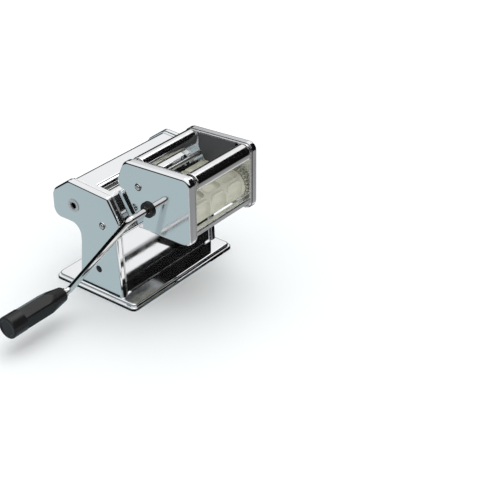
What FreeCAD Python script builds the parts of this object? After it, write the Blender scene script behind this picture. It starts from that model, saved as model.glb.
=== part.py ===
import FreeCAD, Part
import math
import os

# Ravioli maker: a hand cranked sheet roller with a ravioli attachment hung on its slanted front.
# Millimetres. X runs along the rollers, -Y is the front, +Z is up.
# The origin is the middle of the base plate, on the table.

V = FreeCAD.Vector

# Base plate
base_side_ledge = 4.5
base_depth = 130.0
base_rim_height = 4.2
base_height = 8.0
base_corner_r = 7.0
base_rim_step = 2.6
base_sheet = 1.2
base_hem = 3.0

# Side covers and frame pans of the machine, as (y, z, corner radius) seen along X
cover_face_x = 89.0
base_width = 2 * (cover_face_x + base_side_ledge)
cover_depth = 7.5
cover_wall = 1.0
cover_edge_r = 3.0
leg_front_y = -41.8
leg_waist_y = -38.5
waist_z = 88.0
head_front_y = -45.0
head_front_z = 108.0
head_top_front = (-27.5, 138.5)
head_top_rear = (34.0, 142.5)
head_rear_top = (62.5, 121.5)
head_rear_y = 62.8
head_bottom_z = 87.0
leg_rear_waist = (20.8, 64.0)
leg_rear_y = 28.5

# Sheet metal fits of the machine
pan_fit = 0.2
pan_wall = 1.2
pan_plate = 2.0
pan_plate_out_x = 84.3
pan_rim_x = 77.5
hood_fit = 0.1
hood_sheet = 1.0
panel_inset = 3.8
panel_sheet = 1.2
side_play = 0.1

# Feed slot in the hood, and the dough slide below the rollers
slot_front_y = -20.0
slot_rear_y = 5.0
slot_half_x = 71.0
hood_front_y = -22.0
hood_rear_foot_y = 24.0
slide_sheet = 1.0
slide_half_x = 75.5
slide_exit = (26.0, 2.4)
slide_bend = (-14.0, 30.0, 50.0)
slide_top = (-31.0, 82.0)
lower_cover_return = 10.0
lip_step = 0.2
lip_lean = 0.7
lip_drop = 2.2

# Sheet rollers
roller_r = 14.0
roller_half = 72.0
roller_gap = 0.3
gap_travel = 2.7
gap_block_half_h = 9.0
drive_axis = (27.6, 111.5)
gear_module = 2.0
gear_teeth = 14
gear_x0 = 73.0
gear_x1 = 77.2
drive_journal_r = 7.0
small_journal_r = 5.0
running_fit = 0.05

# Crank socket, the same in the machine and in the attachment
crank_rod_r = 4.0
socket_r = crank_rod_r + running_fit
crank_flat = 3.25
socket_depth = 22.0
bush_lip = 1.2
crank_bush_lip_r = 5.0
hub_lip_r = 4.7
journal_play = 0.2
crank_tip_play = 2.8

# Thickness knob and its cam shaft
gap_shaft_r = 3.5
gap_shaft_y = -24.0
cam_r_high = 8.4
cam_sweep_deg = 270.0
cam_clearance = 0.1
cam_x0 = 78.4
cam_x1 = 81.9
knob_x0 = 90.9
knob_skirt_r = 19.0
knob_skirt_x1 = 95.0
knob_grip_r = 15.0
knob_x1 = 112.0
knob_cavity_r = 7.5
knob_shoulder_x = 98.0
spring_wire_r = 0.6
spring_turns = 4.0
detent_pin_r = 1.4
detent_ring_r = 12.5
detent_positions = 7

# Fasteners
screw_shank_r = 2.0
screw_head_r = 2.9
screw_head_h = 1.6
washer_r = 4.8
washer_h = 0.8
tie_rod_r = 2.5
cover_screw_at = (-17.4, 99.3)
rear_rod_at = (47.0, 98.0)
low_rod_at = (-24.0, 20.0)
clamp_at = (-6.4, 36.6)
clamp_bore_r = 4.5
clamp_tube_r = 7.0
clamp_tube_in_x = 78.6
foot_screw_len = 6.0
att_screw_reach = 6.0
rod_screw_reach = 7.0

# Ravioli attachment: caps, frame pans
cap_face_x = 61.5
cap_depth = 8.7
cap_wall = 1.0
cap_edge_r = 3.2
cap_rear_gap = 4.2
cap_bottom_z = 94.5
cap_heel_y = -43.0
cap_heel_z = 110.0
cap_lobe_root = (-29.3, 137.6)
cap_lobe_low = (-20.5, 139.0)
cap_back = (-17.8, 150.0)
cap_back_top = (-30.0, 176.5)
cap_front_y = -128.2
cap_front_top_z = 181.4
att_pan_out_x = 55.5
att_pan_rim_x = 49.5

# Mould rollers
mould_axis = (-65.0, 125.0)
mould_teeth = 25
mould_module = 1.5
mould_pitch = mould_teeth * mould_module
mould_gap = 0.3
mould_half = 46.5
pocket_pitch = 29.5
pocket_size = 23.5
pocket_depth = 5.5
pocket_corner_r = 5.0
pocket_floor_r = 2.5
pockets_round = 4
pockets_across = 3
mould_gear_x0 = 49.3
mould_gear_x1 = 53.2
hub_r = 9.7
hub_proud = 3.1
hub_tube_r = 8.5

# Guide rollers over which the dough sheets run
front_guide = (-118.0, 170.0, 11.0)
rear_guide = (-40.0, 167.5, 10.0)
guide_half = 46.6
guide_journal_r = 3.0

# Hopper end walls, cross bar, hanger
hopper_wall = 1.2
hopper_in_x = 47.2
bar_drop = 13.8
bar_depth = 7.5
bar_face = 6.2
bar_sheet = 1.5
rail_half_x = 32.0
hook_half_x = 28.0
rail_sheet = 1.2
rail_foot_s = 1.5
rail_step_z = 115.2
rail_lip_top = 120.0
hook_sheet = 1.6
hook_play = 0.5
hanger_d = cap_rear_gap + 3.0
hanger_sheet = 1.5
rod_att_at = (-51.4, 149.5)

# Crank
crank_out = 31.0
crank_radius = 108.5
crank_angle_deg = 32.5
crank_flare = 46.9
crank_bend_r = 6.0
ferrule_r = 5.6
ferrule_len = 5.0
ferrule_groove = 0.7
grip_start_x = -150.5
grip_len = 86.5
grip_neck_r = 8.8
grip_cone_len = 27.5
grip_cone_r = 13.4
grip_r = 13.6
grip_flat = 12.1
grip_flats = 6
grip_flat_start = 19.7
grip_flat_end = 20.4
grip_bore_fit = 0.1
grip_end_bore_r = 9.4


# Outlines in the YZ plane are lists of corners (y, z, r).

def signed_area(corners):
    total = 0.0
    for i, c in enumerate(corners):
        d = corners[(i + 1) % len(corners)]
        total += c[0] * d[1] - d[0] * c[1]
    return total / 2.0


def line_meet(p, u, q, v):
    # Where the line through p along u meets the line through q along v.
    det = u[0] * v[1] - u[1] * v[0]
    t = ((q[0] - p[0]) * v[1] - (q[1] - p[1]) * v[0]) / det
    return (p[0] + u[0] * t, p[1] + u[1] * t)


def unit(a, b):
    length = math.hypot(b[0] - a[0], b[1] - a[1])
    return ((b[0] - a[0]) / length, (b[1] - a[1]) / length)


def inset(corners, d):
    # The outline moved inwards by d. Round corners keep their centres.
    n = len(corners)
    turn = 1.0 if signed_area(corners) > 0 else -1.0
    moved = []
    for i in range(n):
        a, b, c = corners[i - 1], corners[i], corners[(i + 1) % n]
        u, v = unit(a, b), unit(b, c)
        p = (b[0] - turn * u[1] * d, b[1] + turn * u[0] * d)
        q = (b[0] - turn * v[1] * d, b[1] + turn * v[0] * d)
        y, z = line_meet(p, u, q, v)
        convex = turn * (u[0] * v[1] - u[1] * v[0]) > 0
        r = b[2] - d if convex else b[2] + d
        moved.append((y, z, max(r, 0.15) if b[2] > 0 else 0.0))
    return moved


def rounded_wire(corners, x):
    # A closed wire at X = x with tangent arcs at the corners that have a radius.
    n = len(corners)
    ends = []
    for i in range(n):
        a, b, c = corners[i - 1], corners[i], corners[(i + 1) % n]
        if b[2] <= 0:
            ends.append((b, b, b))
            continue
        u, v = unit(b, a), unit(b, c)
        half = math.acos(max(-1.0, min(1.0, u[0] * v[0] + u[1] * v[1]))) / 2.0
        t = b[2] / math.tan(half)
        m = unit((0, 0), (u[0] + v[0], u[1] + v[1]))
        k = b[2] / math.sin(half) - b[2]
        start = (b[0] + u[0] * t, b[1] + u[1] * t)
        middle = (b[0] + m[0] * k, b[1] + m[1] * k)
        end = (b[0] + v[0] * t, b[1] + v[1] * t)
        ends.append((start, middle, end))
    edges = []
    for i in range(n):
        start, middle, end = ends[i]
        if corners[i][2] > 0:
            points = [V(x, p[0], p[1]) for p in (start, middle, end)]
            edges.append(Part.Arc(*points).toShape())
        after = ends[(i + 1) % n][0]
        if math.hypot(after[0] - end[0], after[1] - end[1]) > 1e-6:
            edges.append(Part.LineSegment(V(x, end[0], end[1]), V(x, after[0], after[1])).toShape())
    return Part.Wire(edges)


def prism(corners, x0, x1):
    return Part.Face(rounded_wire(corners, x0)).extrude(V(x1 - x0, 0, 0))


def strip(path, thickness):
    # A bent sheet: path is the reference side, the thickness lies on its left.
    n = len(path)
    far = []
    for i in range(n):
        b = path[i]
        u = unit(path[i - 1], b) if i > 0 else unit(b, path[i + 1])
        v = unit(b, path[i + 1]) if i < n - 1 else u
        p = (b[0] - u[1] * thickness, b[1] + u[0] * thickness)
        q = (b[0] - v[1] * thickness, b[1] + v[0] * thickness)
        cross = u[0] * v[1] - u[1] * v[0]
        spot = line_meet(p, u, q, v) if abs(cross) > 1e-9 else p
        r = b[2] - thickness if cross > 0 else b[2] + thickness
        far.append((spot[0], spot[1], max(r, 0.2) if b[2] > 0 else 0.0))
    return list(path) + far[::-1]


def rod(y, z, r, x0, x1):
    low, high = min(x0, x1), max(x0, x1)
    return Part.makeCylinder(r, high - low, V(low, y, z), V(1, 0, 0))


def block(x0, x1, y0, y1, z0, z1):
    low = V(min(x0, x1), min(y0, y1), min(z0, z1))
    return Part.makeBox(abs(x1 - x0), abs(y1 - y0), abs(z1 - z0), low)


def edges_at_x(shape, x):
    return [e for e in shape.Edges if all(abs(p.Point.x - x) < 1e-4 for p in e.Vertexes)]


def fused(first, *others):
    shape = first
    for other in others:
        shape = shape.fuse(other)
    return shape.removeSplitter()


def save(name, *solids):
    shape = solids[0] if len(solids) == 1 else Part.makeCompound(list(solids))
    shape.exportStep("parts/%s.step" % name)


def d_bore(y, z, x0, x1):
    # The crank socket: a round bore with one flat towards +Z.
    bore = rod(y, z, socket_r, x0, x1)
    flat = block(x0, x1, y - socket_r, y + socket_r, z + crank_flat + running_fit, z + 2 * socket_r)
    return bore.cut(flat)


# Outlines worked out from the driving sizes

ground_z = -6.0
head_outline = [
    (leg_front_y, ground_z, 0.0),
    (leg_waist_y, waist_z, 12.0),
    (head_front_y, head_front_z, 5.0),
    (head_top_front[0], head_top_front[1], 3.5),
    (head_top_rear[0], head_top_rear[1], 9.0),
    (head_rear_top[0], head_rear_top[1], 16.0),
    (head_rear_y, head_bottom_z, 12.0),
    (leg_rear_waist[0] - 0.3, head_bottom_z, 14.0),
    (leg_rear_waist[0], leg_rear_waist[1], 40.0),
    (leg_rear_y, ground_z, 0.0),
]
pan_outline = inset(head_outline, cover_wall + pan_fit)
pan_hollow = inset(pan_outline, pan_wall)
hood_outline = inset(pan_hollow, hood_fit)
hood_hollow = inset(hood_outline, hood_sheet)
plate_in_x = pan_plate_out_x - pan_plate
sheet_end_x = plate_in_x - side_play

# The slanted front: s runs up the slope from the panel's foot, d stands off the panel.
slope_up = unit((head_front_y, head_front_z), head_top_front)
slope_out = (-slope_up[1], slope_up[0])
panel_foot = (head_front_y - slope_out[0] * panel_inset, head_front_z - slope_out[1] * panel_inset)
slope_len = math.hypot(head_top_front[0] - head_front_y, head_top_front[1] - head_front_z)


def slope(s, d):
    y = panel_foot[0] + slope_up[0] * s + slope_out[0] * d
    z = panel_foot[1] + slope_up[1] * s + slope_out[1] * d
    return (y, z)


def slope_corners(points, r=0.3):
    return [slope(s, d) + (r,) for s, d in points]


heel_s = (cap_heel_z - slope(0, cap_rear_gap)[1]) / slope_up[1]
heel = slope(heel_s, cap_rear_gap)
cap_outline = [
    (heel[0], cap_bottom_z, 5.0),
    (heel[0], heel[1], 4.0),
    (cap_lobe_root[0], cap_lobe_root[1], 3.0),
    (cap_lobe_low[0], cap_lobe_low[1], 5.0),
    (cap_back[0], cap_back[1], 14.0),
    (cap_back_top[0], cap_back_top[1], 12.0),
    (cap_front_y, cap_front_top_z, 10.0),
    (cap_front_y, cap_bottom_z + 1.5, 11.0),
    (cap_front_y + 18.0, cap_bottom_z, 30.0),
]
att_pan_outline = inset(cap_outline, cap_wall + pan_fit)
att_pan_hollow = inset(att_pan_outline, pan_wall)
att_inner_outline = inset(att_pan_hollow, hood_fit)
att_plate_in_x = att_pan_out_x - pan_plate
front_mould_axis = (mould_axis[0] - mould_pitch, mould_axis[1])
mould_r = (mould_pitch - mould_gap) / 2.0
bar_top_z = mould_axis[1] - bar_drop
mould_end_x = -(cap_face_x + hub_proud - bush_lip - journal_play)
crank_bush_end_x = -(cover_face_x + 0.9)
drive_end_x = crank_bush_end_x + bush_lip + journal_play
driven_axis = (drive_axis[0] - 2 * roller_r - roller_gap, drive_axis[1])
gap_shaft_at = (gap_shaft_y, driven_axis[1])
cam_lead = gap_travel / math.radians(cam_sweep_deg)


# Machine: base, covers, frame

def rounded_slab(width, depth, r, z0, z1):
    slab = Part.makeBox(width, depth, z1 - z0, V(-width / 2, -depth / 2, z0))
    upright = [e for e in slab.Edges if abs(e.Vertexes[0].Point.z - e.Vertexes[1].Point.z) > 1e-6]
    return slab.makeFillet(r, upright)


def top_rounded(slab, z, r):
    return slab.makeFillet(r, [e for e in slab.Edges if all(abs(p.Point.z - z) < 1e-4 for p in e.Vertexes)])


def make_base_plate():
    step = base_rim_step
    rim = top_rounded(rounded_slab(base_width, base_depth, base_corner_r, 0, base_rim_height),
                      base_rim_height, 1.7)
    deck = top_rounded(rounded_slab(base_width - 2 * step, base_depth - 2 * step, base_corner_r - step / 2,
                                    0, base_height), base_height, 2.3)
    inner_r = base_corner_r - base_sheet
    under_rim = rounded_slab(base_width - 2 * base_sheet, base_depth - 2 * base_sheet, inner_r,
                             base_sheet, base_rim_height - base_sheet)
    under_deck = rounded_slab(base_width - 2 * (step + base_sheet), base_depth - 2 * (step + base_sheet),
                              inner_r - step / 2, base_sheet, base_height - base_sheet)
    mouth = rounded_slab(base_width - 2 * base_hem, base_depth - 2 * base_hem, base_corner_r - base_hem / 2,
                         -1.0, base_sheet)
    plate = rim.fuse(deck).cut(under_rim.fuse(under_deck).fuse(mouth))
    for side in (-1, 1):
        for y in foot_screw_ys:
            hole = Part.makeCylinder(screw_shank_r + 0.1, 20, V(side * foot_screw_x, y, -5))
            plate = plate.cut(hole)
    return plate


def pressed_cover(outline, face_x, depth, wall, edge_r, side, floor_z):
    # A shallow cap with a rounded edge, open towards the middle of the machine.
    face, rim = side * face_x, side * (face_x - depth)
    outer = prism(outline, face, rim)
    outer = outer.makeFillet(edge_r, edges_at_x(outer, face))
    inner_face = side * (face_x - wall)
    inner = prism(inset(outline, wall), inner_face, side * (face_x - depth - 5.0))
    inner = inner.makeFillet(edge_r - wall, edges_at_x(inner, inner_face))
    cover = outer.cut(inner)
    below = block(-200, 200, -300, 300, -50, floor_z)
    return cover.cut(below)


def cover_fixing(side):
    # The left cover is screwed to the front tie rod, the right one to the rear tie rod.
    return cover_screw_at if side < 0 else rear_rod_at


def make_side_cover(side):
    cover = pressed_cover(head_outline, cover_face_x, cover_depth, cover_wall, cover_edge_r, side,
                          base_height)
    x0, x1 = side * (cover_face_x - cover_depth), side * (cover_face_x + 2)
    fixing = cover_fixing(side)
    holes = [rod(fixing[0], fixing[1], screw_shank_r + 0.1, x0, x1)]
    if side < 0:
        holes.append(rod(drive_axis[0], drive_axis[1], crank_bush_r + 0.1, x0, x1))
        holes.append(rod(clamp_at[0], clamp_at[1], clamp_bore_r + 0.1, x0, x1))
    else:
        holes.append(rod(gap_shaft_at[0], gap_shaft_at[1], gap_shaft_r + 0.5, x0, x1))
    for hole in holes:
        cover = cover.cut(hole)
    return cover


def make_frame_pan(side):
    out_x, in_x = side * pan_plate_out_x, side * plate_in_x
    plate = prism(pan_outline, out_x, in_x)
    rim = prism(pan_outline, in_x, side * pan_rim_x).cut(prism(pan_hollow, in_x, side * (pan_rim_x - 1)))
    foot = block(in_x, side * foot_end_x, foot_y0, foot_y1, base_height, base_height + pan_plate)
    pan = plate.fuse(rim).cut(block(-200, 200, -300, 300, -50, base_height)).fuse(foot)
    bush_r = crank_bush_tube_r if side < 0 else small_bush_r
    cuts = [rod(drive_axis[0], drive_axis[1], bush_r, out_x, in_x),
            rod(gap_shaft_at[0], gap_shaft_at[1], gap_shaft_r + running_fit, out_x, in_x)]
    for spot in (cover_screw_at, rear_rod_at, low_rod_at):
        cuts.append(rod(spot[0], spot[1], screw_shank_r + 0.1, out_x, in_x))
    if side < 0:
        cuts.append(rod(clamp_at[0], clamp_at[1], clamp_tube_r, out_x, in_x))
    y0, y1, z0, z1 = tongue_box()
    cuts.append(block(out_x, in_x, y0 - gap_travel - 0.3, y1 + 0.3, z0 - 0.1, z1 + 0.1))
    for y in foot_screw_ys:
        cuts.append(Part.makeCylinder(screw_shank_r + 0.1, 20, V(side * foot_screw_x, y, 0)))
    for cut in cuts:
        pan = pan.cut(cut)
    return pan.removeSplitter()


foot_end_x = 70.0
foot_y0 = -32.0
foot_y1 = 16.0
foot_screw_x = 75.5
foot_screw_ys = (-24.0, 8.0)
crank_bush_r = 8.2
crank_bush_tube_r = drive_journal_r + 0.9
small_bush_r = small_journal_r + 1.5


def make_hood():
    ring = prism(hood_outline, -sheet_end_x, sheet_end_x).cut(
        prism(hood_hollow, -sheet_end_x - 1, sheet_end_x + 1))
    top_part = block(-100, 100, hood_front_y, 100, 100, 200)
    low_part = block(-100, 100, hood_rear_foot_y, 100, 60, 100)
    hood = ring.common(top_part.fuse(low_part))
    slot = block(-slot_half_x, slot_half_x, slot_front_y, slot_rear_y, 125, 160)
    hood = hood.cut(slot)
    # The lip of the slot is rolled down towards the rollers.
    lip_z = hood_top_z(slot_rear_y)
    top = slot_rear_y + lip_step
    lip = strip([(top, lip_z, 0.0), (top + lip_lean, lip_z - lip_drop, 0.0)], hood_sheet)
    return hood.fuse(prism(lip, -slot_half_x + 1, slot_half_x - 1)).removeSplitter()


def hood_top_z(y):
    # Height of the hood's outer face above a place on its flat top.
    a, b = hood_outline[3], hood_outline[4]
    return a[1] + (b[1] - a[1]) * (y - a[0]) / (b[0] - a[0])


def make_front_panel():
    # Front part of the top, folded down into the slanted front that carries the attachment.
    top_y = hood_front_y - side_play
    fold_z = hood_top_z(top_y)
    top_dir = unit(hood_outline[3], hood_outline[4])
    fold = line_meet((top_y, fold_z), top_dir, panel_foot, slope_up)
    foot = slope(0.6, 0)
    path = [(top_y, fold_z, 0.0), (fold[0], fold[1], 3.0), (foot[0], foot[1], 0.0)]
    panel = prism(strip(path, panel_sheet), -sheet_end_x, sheet_end_x)
    for x in rivet_xs:
        panel = panel.cut(slope_hole(x, rivet_s, rivet_r))
    # The front edge of the panel passes the pan rims on their inner side.
    return panel.cut(pan_rim_block(-1)).cut(pan_rim_block(1))


def pan_rim_block(side):
    solid = prism(pan_outline, side * pan_plate_out_x, side * (pan_rim_x - side_play))
    return solid.cut(prism(pan_hollow, side * (pan_plate_out_x + 1), side * (pan_rim_x - 1)))


def slope_hole(x, s, r, d0=-3.0, d1=8.0):
    foot = slope(s, d0)
    return Part.makeCylinder(r, d1 - d0, V(x, foot[0], foot[1]), V(0, slope_out[0], slope_out[1]))


rivet_xs = (-26.0, 0.0, 26.0)
rivet_s = 4.9
rivet_r = 1.6


def make_hanging_rail():
    # Stepped rail riveted to the panel. Its lip stands upright and the hooks drop behind it.
    lip_rear = hook_leg_y()[0] - hook_play
    lip_front = lip_rear - rail_sheet
    under = rail_step_z - rail_sheet
    low, low_out = slope(rail_foot_s, 0), slope(rail_foot_s, rail_sheet)
    section = [low, (panel_y(rail_step_z, 0), rail_step_z), (lip_rear, rail_step_z),
               (lip_rear, rail_lip_top), (lip_front, rail_lip_top), (lip_front, under),
               (panel_y(under, rail_sheet), under), low_out]
    rail = prism([p + (0.0,) for p in section], -rail_half_x, rail_half_x)
    for x in rivet_xs:
        rail = rail.cut(slope_hole(x, rivet_s, rivet_r))
    return rail


def panel_y(z, d):
    # Where the plane that stands d off the slanted panel passes the height z.
    s = (z - panel_foot[1] - slope_out[1] * d) / slope_up[1]
    return slope(s, d)[0]


def hook_leg_y():
    # Front and rear faces of the hooks' legs, between the lip and the panel.
    rear = panel_y(rail_step_z + 1.3, 0) - hook_play
    return rear - hook_sheet, rear


def make_rail_rivets():
    rivets = []
    for x in rivet_xs:
        shank = slope_hole(x, rivet_s, rivet_r, -2.4, 1.2)
        head = slope_hole(x, rivet_s, rivet_r + 1.2, 1.2, 2.1)
        tail = slope_hole(x, rivet_s, rivet_r + 0.8, -2.4, -1.3)
        rivets.append(fused(shank, head, tail))
    return rivets


def make_lower_cover():
    # Plain sheet between the legs, from under the head down to the base.
    low, waist, head = hood_outline[:3]
    foot_z = base_height + 0.1
    lean = (waist[0] - low[0]) / (waist[1] - low[1])
    foot_y = low[0] + lean * (foot_z - low[1])
    top = (waist[0] + 0.84 * (head[0] - waist[0]), waist[1] + 0.84 * (head[1] - waist[1]), 0.0)
    path = [top, waist, (foot_y, foot_z, 1.6), (foot_y + lower_cover_return, foot_z, 0.0)]
    sheet = prism(strip(path, hood_sheet), -sheet_end_x, sheet_end_x)
    room_y, room_z = base_depth / 2, base_height + pan_plate + 0.1
    for side in (-1, 1):
        foot_room = block(side * (foot_end_x - 0.5), side * base_width, -room_y, room_y, 0, room_z)
        sheet = sheet.cut(foot_room)
    return sheet


def make_dough_slide():
    # Curved plate that turns the rolled sheet out to the rear.
    path = [(slide_exit[0], base_height + slide_exit[1], 0.0), slide_bend, slide_top + (0.0,)]
    return prism(strip(path, slide_sheet), -slide_half_x, slide_half_x)


def make_crank_bush():
    y, z = drive_axis
    tube = rod(y, z, crank_bush_tube_r, -plate_in_x, crank_bush_end_x)
    ring = rod(y, z, crank_bush_r, -(pan_plate_out_x + 0.1), crank_bush_end_x)
    bush = fused(tube, ring).cut(rod(y, z, drive_journal_r + running_fit, -70, crank_bush_end_x + bush_lip))
    return bush.cut(rod(y, z, crank_bush_lip_r, -70, crank_bush_end_x - 5))


def flanged_bush(spot, tube_r, bore_r, plate_in, plate_out, flange=1.5):
    y, z = spot
    side = 1 if plate_out > 0 else -1
    tube = rod(y, z, tube_r, plate_in, plate_out + side * 0.6)
    lip = rod(y, z, tube_r + flange, plate_out, plate_out + side * 1.2)
    return fused(tube, lip).cut(rod(y, z, bore_r, plate_in - side, plate_out + side * 3))


def make_clamp_socket():
    y, z = clamp_at
    tube = rod(y, z, clamp_tube_r, -(cover_face_x - cover_wall - 0.1), -clamp_tube_in_x)
    return tube.cut(rod(y, z, clamp_bore_r, -cover_face_x, -clamp_tube_in_x + 5))


def make_tie_rods():
    rods = []
    for spot in (cover_screw_at, rear_rod_at, low_rod_at):
        bar = rod(spot[0], spot[1], tie_rod_r, -plate_in_x, plate_in_x)
        for side in (-1, 1):
            bar = bar.cut(rod(spot[0], spot[1], screw_shank_r, side * plate_in_x, side * (plate_in_x - 8)))
        rods.append(bar)
    return rods


def screw(spot, head_x, tip_x):
    # Pan head with a cross slot, its underside at head_x.
    side = 1 if head_x > 0 else -1
    y, z = spot
    head = rod(y, z, screw_head_r, head_x, head_x + side * screw_head_h)
    head = head.makeFillet(0.7, edges_at_x(head, head_x + side * screw_head_h))
    slot_x0, slot_x1 = head_x + side * 0.7, head_x + side * 4
    for half_y, half_z in ((1.7, 0.35), (0.35, 1.7)):
        head = head.cut(block(slot_x0, slot_x1, y - half_y, y + half_y, z - half_z, z + half_z))
    return fused(head, rod(y, z, screw_shank_r, head_x, tip_x))


def cup_washer(spot, x):
    # Dished washer under a screw that shows on a cover.
    side = 1 if x > 0 else -1
    y, z = spot
    disc = rod(y, z, washer_r, x, x + side * washer_h)
    disc = disc.makeFillet(0.5, edges_at_x(disc, x + side * washer_h))
    return disc.cut(rod(y, z, screw_shank_r + 0.1, x - side, x + side * 3))


def make_base_screws():
    screws = []
    for side in (-1, 1):
        for y in foot_screw_ys:
            x = side * foot_screw_x
            under = base_height - base_sheet
            head = Part.makeCylinder(3.4, 1.6, V(x, y, under - 1.6))
            shank = Part.makeCylinder(screw_shank_r, foot_screw_len, V(x, y, under))
            nut = Part.makeCylinder(3.6, 2.2, V(x, y, base_height + pan_plate))
            screws.append(fused(head, shank, nut))
    return screws


# Sheet rollers, their gears and the gap blocks

def gear(spot, module, teeth, x0, x1, bore_r, tooth_at_deg, backlash=0.12):
    # Spur gear with involute flanks, each flank one arc. tooth_at_deg turns one tooth to that angle.
    pitch_r = module * teeth / 2.0
    base_r = pitch_r * math.cos(math.radians(20))
    tip_r, root_r = pitch_r + module, pitch_r - 1.25 * module
    involute_20 = math.tan(math.radians(20)) - math.radians(20)
    half_pitch = math.pi / 2 / teeth - backlash / 2 / pitch_r

    def half_angle(r):
        a = math.acos(min(1.0, base_r / r))
        return half_pitch + involute_20 - (math.tan(a) - a)

    def at(r, angle):
        return V(x0, spot[0] + r * math.cos(angle), spot[1] + r * math.sin(angle))

    flank_r = max(base_r, root_r)
    radii = (flank_r, (flank_r + tip_r) / 2, tip_r)
    edges = []
    step = 2 * math.pi / teeth
    for k in range(teeth):
        c = math.radians(tooth_at_deg) + k * step
        rise = [at(r, c - half_angle(r)) for r in radii]
        fall = [at(r, c + half_angle(r)) for r in reversed(radii)]
        low, high = c - half_angle(flank_r), c + half_angle(flank_r)
        if flank_r > root_r + 1e-6:
            edges.append(Part.LineSegment(at(root_r, low), rise[0]).toShape())
        edges.append(Part.Arc(*rise).toShape())
        edges.append(Part.Arc(rise[2], at(tip_r, c), fall[0]).toShape())
        edges.append(Part.Arc(*fall).toShape())
        if flank_r > root_r + 1e-6:
            edges.append(Part.LineSegment(fall[2], at(root_r, high)).toShape())
        after = low + step
        edges.append(Part.Arc(at(root_r, high), at(root_r, (high + after) / 2), at(root_r, after)).toShape())
    body = Part.Face(Part.Wire(edges)).extrude(V(x1 - x0, 0, 0))
    return body.cut(rod(spot[0], spot[1], bore_r, x0 - 1, x1 + 1))


def make_drive_roller():
    y, z = drive_axis
    body = rod(y, z, roller_r, -roller_half, roller_half)
    left = rod(y, z, drive_journal_r, -roller_half, drive_end_x)
    right = rod(y, z, small_journal_r, roller_half, pan_plate_out_x + 1.8)
    return fused(body, left, right).cut(d_bore(y, z, drive_end_x - 1, drive_end_x + socket_depth))


def make_driven_roller():
    y, z = driven_axis
    body = rod(y, z, roller_r, -roller_half, roller_half)
    return fused(body, rod(y, z, small_journal_r, -(plate_in_x + 2.2), plate_in_x + 2.2))


def tongue_box():
    y, z = driven_axis
    return (y - 8.3, y + 8.3, z - 7.0, z + 7.0)


def make_gap_blocks():
    y, z = driven_axis
    front = gap_shaft_y + cam_r_high + cam_clearance
    y0, y1, z0, z1 = tongue_box()
    blocks = []
    for side in (-1, 1):
        low, high = z - gap_block_half_h, z + gap_block_half_h
        inner = block(side * (pan_rim_x + 0.3), side * (plate_in_x - 0.2), front, y + 9.7, low, high)
        tongue = block(side * (plate_in_x - 0.2), side * (pan_plate_out_x + 0.5), y0, y1, z0, z1)
        piece = fused(inner, tongue)
        blocks.append(piece.cut(rod(y, z, small_journal_r + running_fit, side * 70, side * 90)))
    return blocks


def make_gap_shaft():
    # Shaft of the thickness knob with a snail cam against each gap block.
    y, z = gap_shaft_at
    shaft = rod(y, z, gap_shaft_r, -(pan_plate_out_x + 1.5), knob_screw_x)
    shaft = shaft.cut(block(knob_x0 - 0.6, knob_screw_x + 1, y - 5, y + 5, z + 2.7, z + 8))
    for side in (-1, 1):
        x0, x1 = side * cam_x0, side * cam_x1
        shaft = shaft.fuse(snail_cam(y, z, x0, x1))
    return shaft.removeSplitter()


def snail_cam(y, z, x0, x1):
    # Radius falls steadily over the sweep, then climbs back over the rest of the turn.
    points = []
    steps = 18
    for k in range(steps + 1):
        phi = -math.radians(cam_sweep_deg) * k / steps
        r = cam_r_high + cam_lead * phi
        points.append(V(x0, y + r * math.cos(phi), z + r * math.sin(phi)))
    spiral = Part.BSplineCurve()
    spiral.interpolate(points)
    # The way back leaves the low end square to it, so nothing stands higher there.
    corner = points[-1] + V(0, cam_r_high / 2, -0.1)
    back = [Part.LineSegment(points[-1], corner).toShape(), Part.LineSegment(corner, points[0]).toShape()]
    face = Part.Face(Part.Wire([spiral.toShape()] + back))
    return face.extrude(V(x1 - x0, 0, 0))


knob_screw_x = 108.0


def make_detent_plate():
    # Ring on the right cover with the holes that the knob's pin drops into, joined by a groove.
    y, z = gap_shaft_at
    disc = rod(y, z, 16.5, cover_face_x + 0.05, knob_x0 - 0.3)
    disc = disc.cut(rod(y, z, gap_shaft_r + 0.5, 80, 100))
    groove = rod(y, z, detent_ring_r + detent_pin_r + 0.3, knob_x0 - 1.0, knob_x0).cut(
        rod(y, z, detent_ring_r - detent_pin_r - 0.3, knob_x0 - 2, knob_x0 + 1))
    disc = disc.cut(groove)
    for k in range(detent_positions):
        a = math.radians(90 - k * cam_sweep_deg / (detent_positions - 1))
        disc = disc.cut(rod(y + detent_ring_r * math.cos(a), z + detent_ring_r * math.sin(a),
                            detent_pin_r + 0.2, 80, 100))
    return disc


def make_knob():
    y, z = gap_shaft_at
    skirt = rod(y, z, knob_skirt_r, knob_x0, knob_skirt_x1)
    skirt = skirt.makeChamfer(1.6, edges_at_x(skirt, knob_skirt_x1))
    grip = rod(y, z, knob_grip_r, knob_skirt_x1, knob_x1)
    grip = grip.makeFillet(1.5, edges_at_x(grip, knob_x1))
    knob = skirt.fuse(grip)
    for k in range(12):
        a = 2 * math.pi * (k + 0.5) / 12
        r = knob_grip_r + 1.4
        knob = knob.cut(rod(y + r * math.cos(a), z + r * math.sin(a), 2.6, knob_skirt_x1, knob_x1 + 1))
    knob = knob.cut(rod(y, z, gap_shaft_r + running_fit, 80, 120).cut(
        block(80, 120, y - 5, y + 5, z + 2.75, z + 8)))
    knob = knob.cut(rod(y, z, knob_cavity_r, knob_shoulder_x, knob_x1 + 1))
    return knob.removeSplitter()


def make_detent_pin():
    y, z = gap_shaft_at
    return rod(y, z + detent_ring_r, detent_pin_r, knob_x0 - 0.8, knob_x0)


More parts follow.
